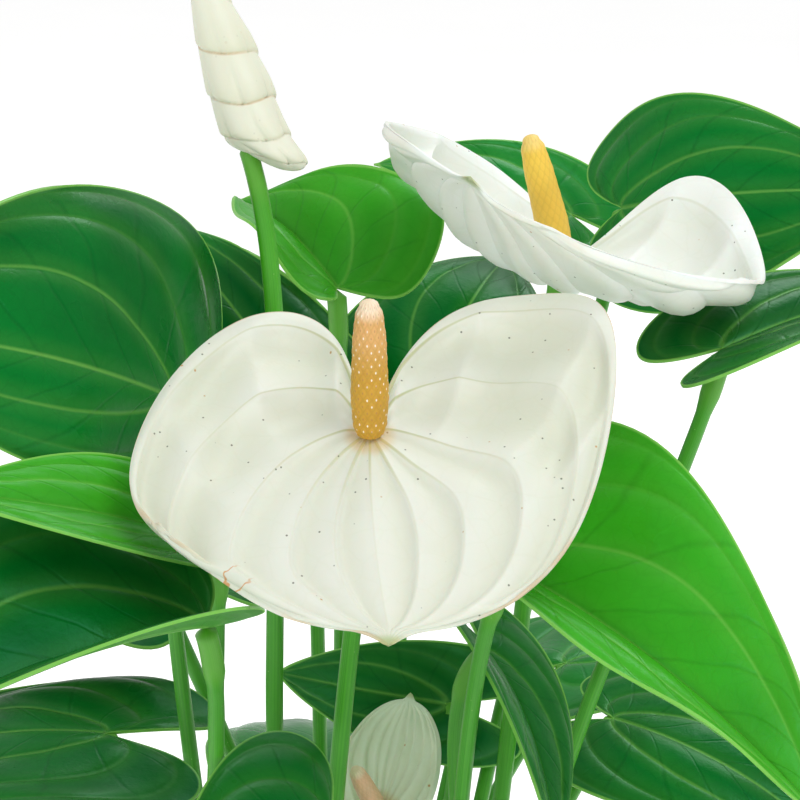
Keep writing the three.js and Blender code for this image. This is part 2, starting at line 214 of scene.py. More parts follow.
def count_field(name, description, default, low, high):
    return IntProperty(name=name, description=description, default=default, min=low, max=high)


def tint_field(name, description, code):
    return FloatVectorProperty(name=name, description=description, default=colour(code), subtype="COLOR",
                               min=0, max=1)


class LeafSettings(bpy.types.PropertyGroup):
    thickness: length_field("Thickness", "Thickness of a leaf", 0.0008)
    quilting: length_field("Quilting", "How far a leaf rises between its veins", 0.0011)
    rows: count_field("Rows", "Rows of faces from stalk to tip", 64, 12, 200)
    dark: tint_field("Dark green", "Colour of the old leaves", "00641f")
    mid: tint_field("Middle green", "Colour of the grown leaves", "0a7a26")
    bright: tint_field("Bright green", "Colour of the young leaves", "3aa312")
    vein: tint_field("Vein", "Colour of leaf veins and margins", "84c458")


class StalkSettings(bpy.types.PropertyGroup):
    leaf_radius: length_field("Leaf stalk radius", "Radius of a leaf's stalk", 0.0023)
    flower_radius: length_field("Flower stalk radius", "Radius of a flower's stalk", 0.0026)
    leaf_green: tint_field("Leaf stalk", "Colour of the leaf stalks", "3aa21a")
    flower_green: tint_field("Flower stalk", "Colour of the flower stalks", "3aa60e")
    shoot_brown: tint_field("Shoot", "Colour of the shoots' old sheaths", "7a6a3c")


class FlowerSettings(bpy.types.PropertyGroup):
    thickness: length_field("Thickness", "Thickness of a spathe", 0.0009)
    rows: count_field("Rows", "Rows of faces from stalk to tip", 150, 20, 300)
    white: tint_field("White", "Colour of the open spathes", "dce0d4")
    # The side spathe's lighter white is partly its young tone and partly painted light, making up for the
    # shade on its inner face.
    bright: tint_field("Young white", "Colour of the side spathe", "f0f5f2")
    pale: tint_field("Pale green", "Colour of the small young spathe", "dfeed4")
    bud: tint_field("Bud", "Colour of the furled spathe", "dddfcc")
    vein: tint_field("Vein", "Colour of the spathes' veins", "a9b070")
    ripe: tint_field("Ripe spadix", "Colour of the ripe spike", "cb9b29")
    yellow: tint_field("Yellow spadix", "Colour of the fresh spike", "f3cb4a")
    pink: tint_field("Pink spadix", "Colour of the young spike", "e6bd94")


class PotSettings(bpy.types.PropertyGroup):
    wall: length_field("Wall", "Thickness of the vase's wall", 0.005)
    segments: count_field("Segments", "Steps round the vase", 128, 24, 256)
    glaze: tint_field("Glaze", "Colour of the vase's glaze", "c6bfae")
    clay: tint_field("Clay", "Colour of the bare clay at the foot", "a98a6a")
    chips: count_field("Chips", "Number of bark chips on the mix", 420, 0, 2000)


class StageSettings(bpy.types.PropertyGroup):
    key: power_field("Key light", "Power of the large light above", 20)
    fill: power_field("Fill light", "Power of the light from the other side", 7)
    back: power_field("Back light", "Power of the light from behind", 13)
    sky: FloatProperty(name="Surroundings", description="Strength of the white surroundings", default=0.66)
    glow: FloatProperty(name="Floor glow", description="Light that the pale floor gives off", default=0.36)
    lens: FloatProperty(name="Lens", description="Focal length of the camera", default=126, unit="CAMERA")


# ---------------------------------------------------------------- finishes


class Finish:
    """A procedural material in the making. A mask is a node's output that runs from 0 to 1."""

    def __init__(self, name, roughness, **constants):
        self.material = bpy.data.materials.new(name)
        self.material.use_nodes = True
        self.nodes = self.material.node_tree.nodes
        self.links = self.material.node_tree.links
        self.shader = self.nodes["Principled BSDF"]
        self.shader.inputs["Roughness"].default_value = roughness
        for socket, value in constants.items():
            self.shader.inputs[socket.replace("_", " ")].default_value = value
        self.place = self.add("TexCoord", {}, output="Object")

    def add(self, kind, inputs, output=0, **settings):
        """Adds a node, feeds its sockets, and gives one of its outputs."""
        node = self.nodes.new("ShaderNode" + kind)
        for key, value in settings.items():
            setattr(node, key, value)
        for socket, value in inputs.items():
            self.feed(node.inputs[socket], value)
        return node.outputs[output]

    def feed(self, socket, value):
        if isinstance(value, bpy.types.NodeSocket):
            self.links.new(value, socket)
        elif socket.type == "RGBA":
            socket.default_value = (*value[:3], 1)
        else:
            socket.default_value = value

    def math(self, operation, *values):
        return self.add("Math", dict(enumerate(values)), operation=operation)

    def product(self, mask, *others):
        for other in others:
            mask = self.math("MULTIPLY", mask, other)
        return mask

    def laid(self, shade, other, *masks):
        """The shade with another laid over it, as far as all of the masks let it."""
        return self.add("Mix", {0: self.product(*masks), 6: shade, 7: other}, output=2, data_type="RGBA")

    def step(self, value, low, high, start=0.0, end=1.0):
        """A smooth step from start to end as value goes from low to high."""
        ranges = {"Value": value, "From Min": low, "From Max": high, "To Min": start, "To Max": end}
        return self.add("MapRange", ranges, interpolation_type="SMOOTHSTEP")

    def uv(self):
        return self.add("UVMap", {}, uv_map="UVMap")

    def axis(self, vector, name):
        return self.add("SeparateXYZ", {"Vector": vector}, output=name)

    def attribute(self, name):
        return self.add("Attribute", {}, output="Fac", attribute_name=name)

    def stretched(self, vector, scale):
        return self.add("Mapping", {"Vector": vector, "Scale": scale})

    def distance(self, point):
        return self.add("VectorMath", {0: self.place, 1: point}, output="Value", operation="DISTANCE")

    def noise(self, scale, detail, at=None, output="Fac"):
        inputs = {"Vector": at or self.place, "Scale": scale, "Detail": detail}
        return self.add("TexNoise", inputs, output=output)

    def cells(self, scale, at=None, feature="F1", output="Distance"):
        return self.add("TexVoronoi", {"Vector": at or self.place, "Scale": scale}, output=output,
                        feature=feature)

    def specks(self, scale, radius, share):
        """A mask of small round specks: one in some of the cells of a cell pattern."""
        near = self.step(self.cells(scale), radius * scale, radius * scale * 0.5)
        chosen = self.add("SeparateColor", {"Color": self.cells(scale, output="Color")})
        return self.product(near, self.math("LESS_THAN", chosen, share))

    def net(self, scale, width, strength, shake, reach):
        """A mask of fine netted veins: the edges of cells that noise has moved about."""
        shift = self.noise(shake, 2, output="Color")
        moved = self.add("VectorMath", {0: shift, 1: (reach,) * 3, 2: self.place}, operation="MULTIPLY_ADD")
        return self.step(self.cells(scale, moved, "DISTANCE_TO_EDGE"), 0.0, width, strength, 0.0)

    def colour_from(self, shade):
        self.feed(self.shader.inputs["Base Color"], shade)

    def roughness_from(self, value):
        self.feed(self.shader.inputs["Roughness"], value)

    def done(self, shade, height, distance, strength):
        """Gives the material its colour and its fine relief, and hands it over."""
        self.colour_from(shade)
        relief = {"Height": height, "Distance": distance, "Strength": strength}
        self.feed(self.shader.inputs["Normal"], self.add("Bump", relief, output="Normal"))
        return self.material


def darker(shade, share):
    return tuple(part * share for part in shade[:3])


def blended(first, second, share):
    return tuple(a + (b - a) * share for a, b in zip(first[:3], second[:3]))


def spathe_finish(name, white, vein, sheen=0.46, netted=0.035, tan=0.5, veined=1.0, specked=0.85,
                  warmth_at=None, scar_at=None):
    """Waxy white with fine olive veins, a painted greenish shade in the hollows and creases, a tan margin
    and a scatter of specks.
    """
    finish = Finish(name, sheen, Subsurface_Weight=0.12, Subsurface_Scale=0.002, Coat_Weight=0.03,
                    Coat_Roughness=0.25)
    along = finish.axis(finish.uv(), "Y")
    patches = finish.step(finish.noise(28, 4), 0.35, 0.7, 0.0, 0.5)
    line = finish.step(finish.attribute("vein"), 0.03, 0.3, 1.0, 0.0)
    fade = finish.step(along, 0.05, 0.5, 0.75 * veined, 0.1 * veined)
    net = finish.net(120, 0.06, netted, shake=70, reach=0.004)
    rim = finish.step(finish.attribute("edge"), 0.12, 0.5, 1.0, 0.0)
    broken = finish.step(finish.noise(60, 2), 0.4, 0.62)
    shade = finish.laid(white, blended(white, vein, 0.22), patches)
    # Painted shade: a greenish grey laid where the spathe lies hollow and along its rib creases.
    shade = finish.laid(shade, blended(white, vein, 0.5), finish.attribute("hollow"), 0.36)
    shade = finish.laid(shade, vein, line, fade)
    shade = finish.laid(shade, vein, net)
    shade = finish.laid(shade, colour("9fae5a"), finish.step(along, 0.972, 0.995, 0.0, 0.7))
    shade = finish.laid(shade, colour("c59a5c"), rim, broken, tan)
    shade = finish.laid(shade, colour("4f5240"), finish.specks(260, 0.00036, 0.7), specked)
    shade = finish.laid(shade, colour("b5831f"), finish.specks(150, 0.0005, 0.6), specked)
    if warmth_at:
        near = finish.step(finish.distance(warmth_at), 0.0042, 0.0075, 0.45, 0.0)
        shade = finish.laid(shade, colour("d2ab55"), near)
    if scar_at:
        near = finish.step(finish.distance(scar_at), 0.003, 0.007, 0.85, 0.0)
        crack = finish.math("ABSOLUTE", finish.math("SUBTRACT", finish.noise(170, 2), 0.5))
        shade = finish.laid(shade, colour("c98a3c"), finish.step(crack, 0.01, 0.035, 1.0, 0.0), near)
    height = finish.math("ADD", finish.product(net, -2.0), finish.noise(900, 2))
    return finish.done(shade, height, 0.00012, 0.3)


def leaf_finish(name, green, vein, underside=False):
    """Glossy green with soft pale main veins, darker sunken side veins and net, and a pale margin."""
    if underside:
        green = blended(green, colour("6fae4e"), 0.4)
    finish = Finish(name, 0.5 if underside else 0.3, Subsurface_Weight=0.05, Subsurface_Scale=0.0015,
                    Specular_IOR_Level=0.26, Specular_Tint=(0.18, 0.8, 0.5, 1))
    uv = finish.uv()
    along = finish.axis(uv, "Y")
    across = finish.math("ABSOLUTE", finish.math("MULTIPLY_ADD", finish.axis(uv, "X"), 2.0, -1.0))
    patches = finish.step(finish.noise(15, 4), 0.3, 0.72)
    beside = finish.step(finish.attribute("vein"), 0.5, 6.0, 0.14, 0.0)
    beat = finish.math("MULTIPLY_ADD", across, -SIDE_SLANT, finish.product(along, SIDE_VEINS))
    wander = finish.math("PINGPONG", finish.math("MULTIPLY_ADD", finish.noise(40, 2), 0.5, beat), 0.5)
    inner = finish.step(across, 0.85, 0.97, 1.0, 0.0)
    side = finish.product(finish.step(wander, 0.0, 0.07, 0.22, 0.0), inner)
    net = finish.net(210, 0.09, 0.08, shake=120, reach=0.003)
    thinned = finish.math("MULTIPLY_ADD", along, 0.55, finish.attribute("vein"))
    line = finish.step(thinned, 0.25, 1.2, 0.8, 0.0)
    shade = finish.laid(darker(green, 0.66), blended(green, colour("1cb43c"), 0.12), patches)
    shade = finish.laid(shade, blended(green, vein, 0.5), beside)
    shade = finish.laid(shade, darker(green, 0.42), side)
    shade = finish.laid(shade, darker(green, 0.45), net)
    shade = finish.laid(shade, blended(green, vein, 0.6), line, finish.step(across, 0.1, 0.85, 1.0, 0.12))
    shade = finish.laid(shade, vein, finish.step(finish.attribute("edge"), 0.2, 0.8, 0.8, 0.0))
    if not underside:
        finish.roughness_from(finish.step(finish.noise(45, 3), 0.3, 0.7, 0.24, 0.4))
    sunk = finish.math("MULTIPLY_ADD", net, 0.3, side)
    height = finish.math("ADD", finish.product(sunk, -3.0), finish.noise(500, 3))
    return finish.done(shade, height, 0.00018, 0.6)


def stalk_finish(name, green):
    """Smooth green with fine lengthwise streaks, yellower at the knee and brown at the foot."""
    finish = Finish(name, 0.38, Subsurface_Weight=0.08, Subsurface_Scale=0.002)
    streaks = finish.noise(1.0, 3, finish.stretched(finish.uv(), (90.0, 2.2, 1.0)))
    streaky = finish.step(streaks, 0.3, 0.7)
    shade = finish.laid(darker(green, 0.78), blended(green, colour("7cc43c"), 0.25), streaky)
    shade = finish.laid(shade, darker(green, 0.55), finish.step(finish.noise(24, 3), 0.4, 0.75, 0.0, 0.4))
    shade = finish.laid(shade, colour("64ac30"), finish.attribute("knee"), 0.6)
    worn = finish.step(streaks, 0.2, 0.8, 0.6, 1.0)
    shade = finish.laid(shade, colour("6d5a35"), finish.attribute("foot"), worn)
    shade = finish.laid(shade, colour("c8d99a"), finish.specks(420, 0.0002, 0.22), 0.35)
    return finish.done(shade, streaks, 0.00018, 0.6)


def spadix_finish(name, low, high, tip, dots):
    """Close-set florets with painted shade in the gaps between them, running to a paler tip, each with a
    brown mark or a pale drop."""
    finish = Finish(name, 0.52, Subsurface_Weight=0.15, Subsurface_Scale=0.002)
    along, floret = finish.axis(finish.uv(), "Y"), finish.attribute("floret")
    patches = finish.step(finish.noise(90, 3), 0.35, 0.7, 0.0, 0.35)
    mark = finish.step(floret, 0.84, 0.94)
    shade = finish.laid(low, high, finish.step(along, 0.45, 0.82))
    shade = finish.laid(shade, tip, finish.step(along, 0.86, 0.97))
    shade = finish.laid(shade, darker(low, 0.75), patches)
    # Painted shade: darker in the gaps between the florets.
    shade = finish.laid(shade, darker(low, 0.6), finish.step(floret, 0.0, 0.45, 0.22, 0.0))
    shade = finish.laid(shade, colour("a0704c"), mark, 0.55 * dots)
    shade = finish.laid(shade, colour("fbf4e2"), mark, finish.step(finish.noise(260, 1), 0.46, 0.54), dots)
    return finish.done(shade, finish.noise(1200, 2), 0.00015, 0.5)


def glaze_finish(glaze, clay):
    """Satin stoneware glaze, thin over the throwing rings, with iron specks and a bare foot."""
    finish = Finish("stoneware_glaze", 0.3, Coat_Weight=0.3, Coat_Roughness=0.18)
    rings = finish.noise(1.0, 2, finish.stretched(finish.place, (3.0, 3.0, 320.0)))
    wavy = finish.math("MULTIPLY_ADD", finish.noise(30, 2), 0.004, finish.axis(finish.place, "Z"))
    bare = finish.step(wavy, 0.0072, 0.0082, 1.0, 0.0)
    shade = finish.laid(darker(glaze, 0.93), glaze, finish.step(finish.noise(14, 4), 0.3, 0.7))
    shade = finish.laid(shade, blended(glaze, clay, 0.4), finish.step(rings, 0.45, 0.75, 0.0, 0.22))
    shade = finish.laid(shade, colour("5b4a38"), finish.specks(190, 0.0005, 0.34), 0.6)
    shade = finish.laid(shade, colour("8a7458"), finish.specks(420, 0.0003, 0.3), 0.45)
    shade = finish.laid(shade, finish.laid(darker(clay, 0.8), clay, finish.noise(300, 3)), bare)
    satin = finish.step(rings, 0.3, 0.8, 0.24, 0.38)
    finish.roughness_from(finish.math("MAXIMUM", satin, finish.product(bare, 0.85)))
    height = finish.math("ADD", rings, finish.product(finish.noise(700, 2), 0.3))
    return finish.done(shade, height, 0.00025, 0.5)


def earth_finish(name, dark, light, scale, roughness=0.95):
    """Rough earth, bark or stone: two tones in grains of the given scale, offset by each bit's own tone."""
    finish = Finish(name, roughness)
    grains = finish.noise(scale, 6)
    own = finish.product(finish.attribute("tone"), 0.8)
    shade = finish.laid(dark, light, finish.math("ADD", finish.step(grains, 0.3, 0.7), own), 0.6)
    flecks = finish.specks(scale * 2, 0.0004, 0.2)
    shade = finish.laid(shade, blended(light, (1, 1, 1), 0.4), flecks, 0.6)
    return finish.done(shade, grains, 0.0012, 0.8)


# ---------------------------------------------------------------- shaping


def add_piece(name, bm, materials, stands_for=()):
    """Makes a finished bmesh into a smooth piece that rides on the plant's one body."""
    mesh = bpy.data.meshes.new(name)
    bm.to_mesh(mesh)
    bm.free()
    mesh.shade_smooth()
    for material in materials:
        mesh.materials.append(material)
    piece = bpy.data.objects.new(name, mesh)
    bpy.context.scene.collection.objects.link(piece)
    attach(piece, "root")
    if stands_for:
        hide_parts(*stands_for)
    return piece


def closed(bm):
    """The bmesh with its seams and poles merged and its faces turned outwards."""
    bmesh.ops.remove_doubles(bm, verts=bm.verts, dist=MERGE)
    bmesh.ops.recalc_face_normals(bm, faces=bm.faces)
    return bm


def turned(profile, steps):
    """A profile of (radius, height) in millimetres, from axis to axis, spun about the upright axis."""
    bm = bmesh.new()
    corners = [bm.verts.new((radius * MM, 0, height * MM)) for radius, height in profile]
    edges = [bm.edges.new(pair) for pair in zip(corners, corners[1:])]
    bmesh.ops.spin(bm, geom=corners + edges, cent=(0, 0, 0), axis=UP, dvec=(0, 0, 0), angle=math.tau,
                   steps=steps, use_merge=True)
    return closed(bm)


def laid_grid(columns, rows, place, measures=()):
    """A grid with an even UV map. From a corner's column and row, place gives its point and measures."""
    bm = bmesh.new()
    bm.loops.layers.uv.new("UVMap")
    layers = [bm.verts.layers.float.new(name) for name in measures]
    bmesh.ops.create_grid(bm, x_segments=columns, y_segments=rows, size=0.5, calc_uvs=True)
    for vert in bm.verts:
        vert.co, *values = place(round((vert.co.x + 0.5) * columns), round((vert.co.y + 0.5) * rows))
        for layer, value in zip(layers, values):
            vert[layer] = value
    return bm


def tube(path, radius_at, around, rows, marks):
    """A closed round tube along path, a list of points. radius_at gives its radius from the share of its
    length and the turn. marks names its measures, and how each comes from the share of its length."""
    lengths = [0.0]
    for a, b in zip(path, path[1:]):
        lengths.append(lengths[-1] + (b - a).length)
    rings = []
    side = (path[1] - path[0]).cross(Vector((0.3, 1, 0.1))).normalized()
    for row in range(rows + 1):
        far = lengths[-1] * row / rows
        spot = max(1, next((i for i, length in enumerate(lengths) if length >= far), len(path) - 1))
        step = path[spot] - path[spot - 1]
        centre = path[spot - 1] + step * ((far - lengths[spot - 1]) / step.length)
        ahead = step.normalized()
        side = (side - ahead * side.dot(ahead)).normalized()
        rings.append((centre, side, ahead.cross(side), row / rows))

    def place(column, row):
        centre, first, second, share = rings[row]
        turn = math.tau * column / around
        radius = 0 if row in (0, rows) else radius_at(share, turn)
        point = centre + (first * math.cos(turn) + second * math.sin(turn)) * radius
        return point, *(mark(share) for mark in marks.values())

    return closed(laid_grid(around, rows, place, marks))


def smooth_step(value, low, high):
    share = min(1.0, max(0.0, (value - low) / (high - low)))
    return share * share * (3 - 2 * share)


class Blade:
    """The surface of a leaf or spathe, in millimetres. v runs across it from margin (-1) to margin (1),
    and w from its stalk (0) to its tip (1). Lines of constant v are the ways of its main veins."""

    def __init__(self, data, outline):
        self.start = Vector(data["start"])
        self.outline = {**outline, **data["outline"]}
        self.shape = {**FLAT, **data["shape"]}
        self.along = Vector(data["tip"]) - self.start
        self.length = self.along.length
        self.along.normalize()
        face = Vector(data["face"])
        self.out = (face - self.along * face.dot(self.along)).normalized()
        self.across = self.along.cross(self.out)

    def flat(self, v, w):
        """How far along and across the blade a point is, as shares of its length."""
        outline, turn = self.outline, math.pi * w
        s, c = math.sin(turn), math.cos(turn)
        share = (1 - c) / 2
        scale = 1 - abs(outline["uneven"]) if v * outline["uneven"] > 0 else 1
        taper = (1 - outline["taper"] * share ** 2) * (1 - outline["pinch"] * (1 - share) ** 2)
        width = scale * v * outline["half"] * s * taper
        back = scale * abs(v) ** outline["fan"] * outline["lobe"] * s * (1 + c) / 2
        reach = share - back + outline["skew"] * width * s ** 6
        tail = outline["tail"] * max(0, (w - 0.95) / 0.05) ** 2
        return reach + tail, width + outline["veer"] * reach ** 2

    def point(self, v, w):
        reach, side = self.flat(v, w)
        shape, turn = self.shape, math.pi * w
        s = math.sin(turn)
        rise = (
            shape["bow"] * 4 * reach * (1 - reach)
            + shape["fold"] * abs(side) * self.length
            + shape["dish"] * (reach ** 2 + side ** 2)
            + shape["cup"] * (side / self.outline["half"]) ** 2
            + shape["curl"] * s * v ** 4
            + shape["wave"] * v ** 2 * s * math.sin(2 * shape["waves"] * turn + v)
            - shape["belly"] * s ** 4 * (1 - v * v)
            + (shape["lift"] - math.copysign(shape["heave"], v)) * min(0, reach) ** 2
        )
        return (self.start + self.along * (reach * self.length) + self.across * (side * self.length)
                + self.out * rise)

    def spacing(self, v, w):
        """Millimetres between two veins that are 1 apart in v, measured square to them."""
        step = 0.004
        (a, b), (c, d) = self.flat(v - step, w), self.flat(v + step, w)
        (e, f), (g, h) = self.flat(v, max(0, w - step)), self.flat(v, min(1, w + step))
        across, along = Vector((c - a, d - b)), Vector((g - e, h - f))
        if along.length < 1e-9:
            return 0.0
        return abs(across.cross(along)) / along.length / (2 * step) * self.length


def vein_columns(veins, per_gap):
    """Columns of v for a blade's grid: one on every vein, with more of them close to the veins."""
    half = []
    for low, high in zip(veins, veins[1:]):
        count = per_gap if high - low > 0.1 else per_gap // 2
        for i in range(count):
            share = i / count
            half.append(low + (high - low) * (share - 0.09 * math.sin(math.tau * share)))
    half.append(1.0)
    return [-v for v in reversed(half[1:])] + half


def nearest_vein(veins, v):
    """(vein below, vein above, share of the way between them) for |v|."""
    v = min(abs(v), 0.999999)
    for low, high in zip(veins, veins[1:]):
        if v < high:
            return low, high, (v - low) / (high - low)


def blade_mesh(blade, veins, columns, rows, relief):
    """The blade's upper surface as a bmesh in metres, with relief (in millimetres) along its own normal."""
    spots = []

    def place(column, row):
        spots.append((columns[column], row / rows))
        return blade.point(*spots[-1]) * MM, 0, 0, 0

    bm = laid_grid(len(columns) - 1, rows, place, BLADE_MEASURES)
    where = dict(zip(bm.verts, spots))
    uv = bm.loops.layers.uv.active
    vein, edge, hollow = (bm.verts.layers.float[name] for name in BLADE_MEASURES)
    if sum(face.normal.dot(blade.out) for face in bm.faces) < 0:
        bmesh.ops.reverse_faces(bm, faces=bm.faces)
    bm.normal_update()
    for face in bm.faces:
        for loop in face.loops:
            v, w = where[loop.vert]
            loop[uv].uv = (v / 2 + 0.5, w)
    moves = []
    for vert, (v, w) in where.items():
        spacing = blade.spacing(v, w)
        low, high, share = nearest_vein(veins, v)
        vert[vein] = min(abs(v) - low, high - abs(v)) * spacing
        if high == veins[-1]:
            vert[vein] = (abs(v) - low) * spacing
        vert[edge] = (1 - abs(v)) * spacing
        height, vert[hollow] = relief(v, w, spacing, (low, high, share))
        moves.append((vert, vert.normal * height * MM))
    for vert, move in moves:
        vert.co += move
    bmesh.ops.remove_doubles(bm, verts=bm.verts, dist=2 * MERGE)
    return bm


def thicken(piece, thickness):
    """Gives a sheet its thickness and a rounded rim, with its second material below."""
    solid = piece.modifiers.new("thickness", "SOLIDIFY")
    solid.thickness, solid.offset = thickness, 0
    solid.material_offset, solid.material_offset_rim = 1, 0
    rim = piece.modifiers.new("rim", "BEVEL")
    rim.limit_method, rim.angle_limit = "ANGLE", math.radians(65)
    rim.width, rim.segments = thickness * 0.35, 2


def bezier(a, b, c, d, count):
    """Points along the curve from a to d that sets out towards b and comes in from c."""
    shares = [i / count for i in range(count + 1)]
    return [a * (1 - t) ** 3 + b * (3 * t * (1 - t) ** 2) + c * (3 * t * t * (1 - t)) + d * t ** 3
            for t in shares]


def stalk_way(data, end, arrival, rise=0.5, sweep=0.2):
    """The points of a stalk from its shoot, up and leaning out, to its blade or bud, in metres. rise and
    sweep are the shares of its span that its two ends pull it by."""
    name, turn = data["stalk"]
    x, y = SHOOTS[name]["at"]
    turn = math.radians(turn)
    root = Vector((x + STALK_RING * math.cos(turn), y + STALK_RING * math.sin(turn), MIX_TOP + 1))
    span = (end - root).length
    outward = Vector((root.x, root.y, 0)).normalized()
    rising = (UP + outward * data.get("lean", 0.12)).normalized()
    way = bezier(root, root + rising * (rise * span), end - arrival * (sweep * span), end, 80)
    sunk = [root + Vector((x - root.x, y - root.y, 0)) * 0.25 - UP * 5]
    return [point * MM for point in sunk + way]


def add_stalk(name, way, radius, material, node, swelling):
    """A stalk that is stout at its foot and swells into a knee under its blade."""
    reach = sum((b - a).length for a, b in zip(way, way[1:]))
    knee_from = 1 - 0.017 / reach

    def knee(share):
        return smooth_step(share, knee_from - 0.01, knee_from + 0.02)

    def foot(share):
        return 1 - smooth_step(share, 0.03, 0.13)

    def radius_at(share, turn):
        end = math.sqrt(max(0.0, 1 - smooth_step(share, 0.992, 1.0) * 0.5))
        lumps = 1 + 0.03 * noise.noise(Vector((turn, share * 22, radius * 900)))
        groove = 1 - 0.09 * math.exp(-((turn - math.pi) / 0.5) ** 2) * (1 - knee(share))
        return radius * lumps * groove * end * (0.96 + 0.45 * foot(share) + swelling * knee(share))

    bm = tube(way, radius_at, 20, 96, {"knee": knee, "foot": foot})
    return add_piece(name, bm, [material], [node])


# ---------------------------------------------------------------- relief of the blades


def spathe_relief(quilting, ribs, crease, seed):
    """The lie of a spathe: fine raised veins, hollows that are steepest at their outer vein, billows
    between cross ribs out to the margin, and a rim that rolls down."""

    def relief(v, w, spacing, gap):
        low, high, share = gap
        width = (high - low) * spacing
        near = min(share, 1 - share) * width
        swell = math.sin(math.pi * share ** 1.9) if high < 1 else 0
        sag = min(0.13 * width, 2.6) * swell
        fade = (1 - w) ** 0.35
        ridge = 0.28 * math.exp(-(near / 0.45) ** 2) * fade if high < 1 or share < 0.5 else 0
        side = 1 if v > 0 else -1
        beat = ribs * w ** 0.8 + 0.35 * side + 0.5 * noise.noise(Vector((w * 5, side * 3, seed)))
        out = smooth_step(abs(v), 0.5, 0.9) * (1 - smooth_step(abs(v), 0.95, 1.0) * 0.9)
        rib = abs(math.sin(math.pi * beat)) ** crease * out * math.sin(math.pi * min(1, w * 1.02)) ** 0.5
        roll = 1.1 * smooth_step(abs(v), 0.982, 1.0) * math.sin(math.pi * w) ** 0.5
        wander = noise.noise(Vector((v * 4 + seed, w * 6, seed)))
        crumple = noise.noise(Vector((v * 9 - seed, w * 15, seed * 2)))
        waves = (0.5 * wander + 0.18 * crumple) * math.sin(math.pi * w)
        # The second value is how hollow the point lies, in its dish and its rib creases; the finish paints
        # shade there.
        return ridge - sag - quilting * rib - roll + waves, min(1, swell * 0.8 + 0.75 * rib)

    return relief


def leaf_relief(quilting, seed):
    """The lie of a leaf: sunken main veins, and a lamina that swells between its side veins."""

    def relief(v, w, spacing, gap):
        low, high, share = gap
        width = (high - low) * spacing
        near = min(share, 1 - share if high < 1 else 1) * width
        pillow = min(0.05 * width, quilting) * math.sin(math.pi * share) ** 0.7 if high < 1 else 0
        groove = 0.28 * math.exp(-(near / 0.8) ** 2) * (1 - w) ** 0.3
        crest = abs(math.sin(math.pi * (SIDE_VEINS * w - SIDE_SLANT * abs(v))))
        quilt = 0.4 * crest ** 0.6 * math.sin(math.pi * min(1, abs(v) * 1.15)) * math.sin(math.pi * w)
        wander = noise.noise(Vector((v * 2.2 + seed, w * 3, seed * 0.7)))
        return pillow - groove + quilt + 0.9 * wander * math.sin(math.pi * w), share

    return relief


# ---------------------------------------------------------------- operators


class ANTHURIUM_OT_vase(bpy.types.Operator):
    """Turn the stoneware vase with its foot ring, throwing rings and rolled lip"""
    bl_idname = "anthurium.vase"
    bl_label = "Vase"

    def execute(self, context):
        pot = context.scene.anthurium_pot
        wall = pot.wall / MM
        outside = wall_profile(0, 90)
        foot, height, lip, floor = VASE["foot"], VASE["height"], VASE["lip"], VASE["floor"]
        ringed = [(r + 0.16 * math.sin(z * 0.9) + 0.1 * math.sin(z * 0.31 + 1), z) for r, z in outside
                  if 3 < z < height - 4]
        base = [(0, 2.6), (foot - 10, 2.6), (foot - 8, 1.6), (foot - 7.2, 0.3), (foot - 6.4, 0),
                (foot - 2, 0), (foot - 0.7, 0.4), (foot + 0.4, 1.6)]
        bead = wall * 0.56
        roll = [(lip - wall / 2 + bead * math.cos(a), height - bead + bead * math.sin(a))
                for a in (math.pi * i / 12 for i in range(13))]
        inside = [(r, z) for r, z in wall_profile(wall, 60) if floor + 3 < z < height - 4]
        floor_radius = inside[0][0]
        well = [(floor_radius - 1.2, floor + 1.1), (floor_radius - 4, floor), (0, floor)]
        bm = turned(base + ringed + roll + inside[::-1] + well, pot.segments)
        add_piece("stoneware_vase", bm, [glaze_finish(pot.glaze, pot.clay)], ["vase"])
        return {"FINISHED"}


def wall_profile(inset, count):
    """The wall as (radius, height), a smooth line from foot to belly to neck to lip."""
    knots = [(VASE["foot"], 0), (VASE["belly"] * 0.9, VASE["belly_at"] * 0.45),
             (VASE["belly"], VASE["belly_at"]), (VASE["neck"] * 1.08, VASE["height"] * 0.8),
             (VASE["lip"], VASE["height"])]
    knots = [Vector((r - inset, z)) for r, z in knots]
    knots = [knots[0], *knots, knots[-1]]
    spots = len(knots) - 3
    points = []
    for i in range(count + 1):
        at = min(i / count * spots, spots - 1e-9)
        a, b, c, d = knots[int(at):int(at) + 4]
        t = at - int(at)
        bend, rise = (c - a) / 2, (d - b) / 2
        cubic, square = 2 * b - 2 * c + bend + rise, 3 * c - 3 * b - 2 * bend - rise
        points.append(tuple(cubic * t ** 3 + square * t ** 2 + bend * t + b))
    return points


def radius_of(profile, height):
    """The radius of a profile of (radius, height) at a height."""
    above = next(i for i, p in enumerate(profile) if p[1] >= height)
    (r0, z0), (r1, z1) = profile[max(0, above - 1)], profile[above]
    return r1 if z1 == z0 else r0 + (r1 - r0) * (height - z0) / (z1 - z0)


def add_bits(name, bits, rng, make, material, stands_for=()):
    """Many small bits in one mesh. bits holds (place, size, turn), and make gives a bit its form."""
    bm = bmesh.new()
    tone = bm.verts.layers.float.new("tone")
    for place, size, turn in bits:
        made = make(bm)
        shade = rng.random()
        for vert in made:
            vert[tone] = shade
            vert.co *= 1 + 0.16 * noise.noise(vert.co * 2.3 + place * 900)
        matrix = Matrix.Translation(place) @ turn @ Matrix.Diagonal((*size, 1))
        bmesh.ops.transform(bm, verts=made, matrix=matrix)
    bmesh.ops.recalc_face_normals(bm, faces=bm.faces)
    return add_piece(name, bm, [material], stands_for)


def any_turn(rng):
    angle = rng.uniform(0, math.tau)
    return Matrix.Rotation(angle, 4, Vector((rng.gauss(0, 1), rng.gauss(0, 1), rng.gauss(0, 1))))


def pebble(bm):
    return bmesh.ops.create_icosphere(bm, subdivisions=2, radius=1)["verts"]


